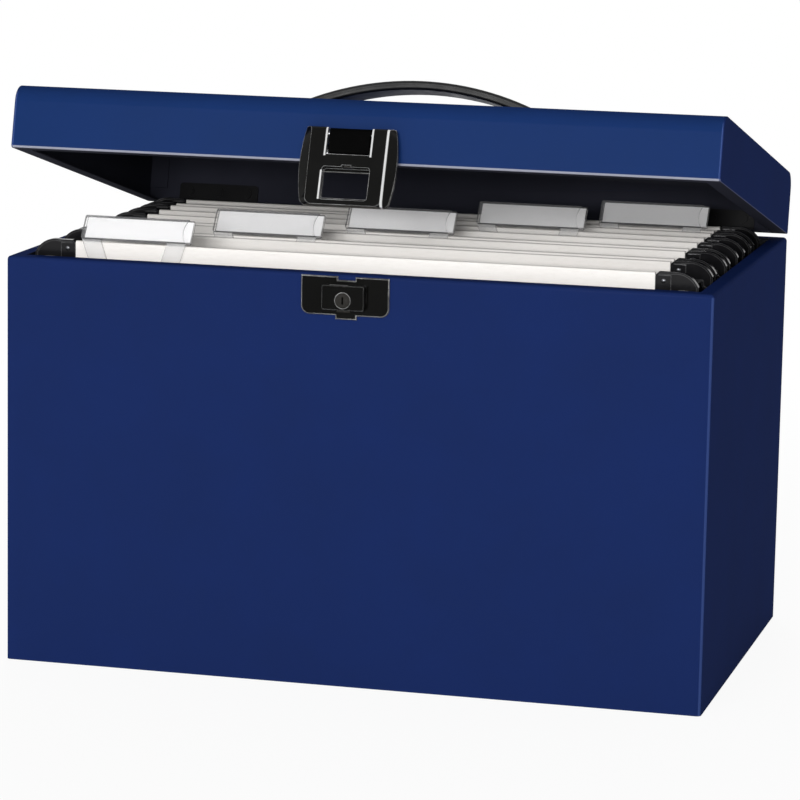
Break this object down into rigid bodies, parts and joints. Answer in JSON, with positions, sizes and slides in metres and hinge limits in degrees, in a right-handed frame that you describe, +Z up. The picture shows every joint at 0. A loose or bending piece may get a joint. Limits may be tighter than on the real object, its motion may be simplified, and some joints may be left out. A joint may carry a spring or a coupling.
{
  "type": "portable file box",
  "caption": "Portable steel file box with a hinged lid, carrying handle, hasp with a keyed lock, and hanging files on side rails.",
  "frame": {"origin": "centre of the underside, on the surface the box stands on", "axes": "+X to the right seen from the latch side, -Y out of the latch side, +Z up"},
  "size_m": [0.365, 0.2441, 0.2974],
  "materials": {
    "blue_paint": "satin",
    "lid_paint": "satin",
    "zinc_plate": "satin",
    "hinge_black": "satin",
    "rivet_steel": "satin",
    "handle_black": "matte",
    "latch_black": "satin",
    "lock_steel": "polished",
    "board": "matte",
    "bar_steel": "satin",
    "hook_plastic": "satin",
    "clear_plastic": "gloss",
    "slip_paper": "matte"
  },
  "bodies": {
    "body": {"body_shell": "blue_paint", "base_panel": "blue_paint", "hanging_rail_left": "zinc_plate", "hanging_rail_right": "zinc_plate", "hinge_leaf_body_left": "hinge_black", "hinge_leaf_body_right": "hinge_black", "hinge_pins_left": "rivet_steel", "hinge_pins_right": "rivet_steel", "hinge_rivets_body": "rivet_steel", "keeper_plate": "latch_black", "keeper_clips": "rivet_steel", "lock_block": "latch_black", "catch_spring": "rivet_steel"},
    "lock": {"lock_plug": "lock_steel", "lock_spindle": "lock_steel", "lock_cam": "lock_steel", "lock_clip": "rivet_steel"},
    "catch": {"spring_catch": "lock_steel"},
    "lid": {"lid_wrap": "lid_paint", "lid_end_left": "lid_paint", "lid_end_right": "lid_paint", "hinge_leaf_lid_left": "hinge_black", "hinge_leaf_lid_right": "hinge_black", "hinge_backing_left": "zinc_plate", "hinge_backing_right": "zinc_plate", "hinge_rivets_lid": "rivet_steel", "hasp_bracket": "latch_black", "hasp_rivets": "rivet_steel", "hasp_pin": "rivet_steel", "handle_grip": "handle_black", "handle_screws": "rivet_steel", "handle_washers": "rivet_steel", "handle_nuts": "rivet_steel"},
    "hasp": {"hasp_flap": "latch_black"},
    "file_1": {"file_1_folder": "board", "file_1_bars": "bar_steel", "file_1_hooks": "hook_plastic", "file_1_tab": "clear_plastic", "file_1_insert": "slip_paper"},
    "file_2": {"file_2_folder": "board", "file_2_bars": "bar_steel", "file_2_hooks": "hook_plastic", "file_2_tab": "clear_plastic", "file_2_insert": "slip_paper"},
    "file_3": {"file_3_folder": "board", "file_3_bars": "bar_steel", "file_3_hooks": "hook_plastic", "file_3_tab": "clear_plastic", "file_3_insert": "slip_paper"},
    "file_4": {"file_4_folder": "board", "file_4_bars": "bar_steel", "file_4_hooks": "hook_plastic", "file_4_tab": "clear_plastic", "file_4_insert": "slip_paper"},
    "file_5": {"file_5_folder": "board", "file_5_bars": "bar_steel", "file_5_hooks": "hook_plastic", "file_5_tab": "clear_plastic", "file_5_insert": "slip_paper"}
  },
  "joints": [
    {"name": "lid_hinge", "type": "hinge", "parent": "body", "child": "lid", "pos_m": [0, 0.1172, 0.2114], "axis": [-1, 0, 0], "range_deg": [-13.5, 91.5]},
    {"name": "hasp_pivot", "type": "hinge", "parent": "lid", "child": "hasp", "pos_m": [-0.0031, -0.10775, 0.28022], "axis": [-1, 0, 0], "range_deg": [-8, 80]},
    {"name": "lock_turn", "type": "hinge", "parent": "body", "child": "lock", "pos_m": [-0.0031, -0.114, 0.1986], "axis": [0, 1, 0], "range_deg": [0, 90]},
    {"name": "catch_slide", "type": "slide", "parent": "body", "child": "catch", "axis": [0, 0, 1], "range_m": [0, 0.0012], "stiffness_N_per_m": 900, "springref_m": -0.0003, "deforming": ["catch_spring"]},
    {"name": "file_1_slide", "type": "slide", "parent": "body", "child": "file_1", "axis": [0, 1, 0], "range_m": [-0.004, 0.005]},
    {"name": "file_2_slide", "type": "slide", "parent": "body", "child": "file_2", "axis": [0, 1, 0], "range_m": [-0.005, 0.005]},
    {"name": "file_3_slide", "type": "slide", "parent": "body", "child": "file_3", "axis": [0, 1, 0], "range_m": [-0.005, 0.014]},
    {"name": "file_4_slide", "type": "slide", "parent": "body", "child": "file_4", "axis": [0, 1, 0], "range_m": [-0.014, 0.005]},
    {"name": "file_5_slide", "type": "slide", "parent": "body", "child": "file_5", "axis": [0, 1, 0], "range_m": [-0.005, 0.014]}
  ]
}
